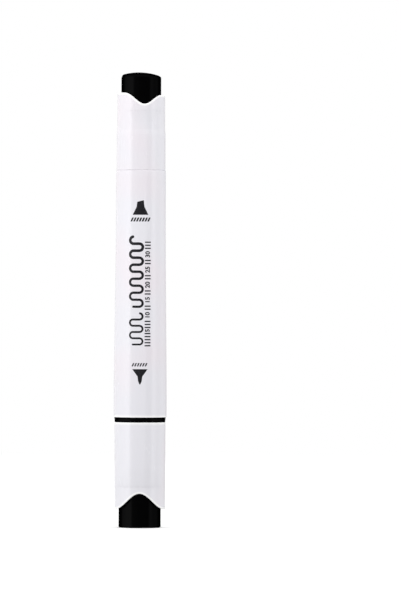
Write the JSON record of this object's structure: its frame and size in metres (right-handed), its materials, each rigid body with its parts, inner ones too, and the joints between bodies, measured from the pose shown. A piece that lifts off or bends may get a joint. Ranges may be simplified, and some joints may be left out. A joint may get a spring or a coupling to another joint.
{
  "type": "felt tip marker",
  "caption": "Slim felt tip marker with a chisel nib at one end and a bullet nib at the other, each under a round pull-off cap with a wave-cut shell and a dark end plug.",
  "frame": {"origin": "centre of the flat end of the fine cap, which the marker stands on", "axes": "+Z along the marker's axis from the fine cap to the broad cap; the printed side faces -Y; the chisel nib's high corner points to +X"},
  "size_m": [0.0176, 0.0176, 0.15],
  "materials": {
    "white_polypropylene": "moulded, satin gloss",
    "black_plastic": "moulded, gloss",
    "charcoal_plastic": "moulded, gloss",
    "natural_polyethylene": "moulded, milky, soft",
    "inked_felt": "bonded felt, wet with dark ink",
    "inked_fibre": "lengthwise polyester fibre, soaked with dark ink",
    "clear_film": "clear wrapping film"
  },
  "bodies": {
    "fine_cap": {"fine_cap_shell": "white_polypropylene", "fine_cap_end_plug": "black_plastic", "fine_cap_inner_seal": "natural_polyethylene"},
    "pen_body": {"barrel": "white_polypropylene", "fine_nib_holder": "charcoal_plastic", "broad_nib": "inked_felt", "fine_nib": "inked_felt", "reservoir_core": "inked_fibre", "reservoir_film": "clear_film"},
    "broad_cap": {"broad_cap_shell": "white_polypropylene", "broad_cap_end_plug": "black_plastic", "broad_cap_inner_seal": "natural_polyethylene"}
  },
  "joints": [
    {"name": "fine_cap_pull", "type": "slide", "parent": "fine_cap", "child": "pen_body", "axis": [0, 0, 1], "range_m": [0, 0.045]},
    {"name": "broad_cap_pull", "type": "slide", "parent": "pen_body", "child": "broad_cap", "axis": [0, 0, 1], "range_m": [0, 0.045]}
  ]
}
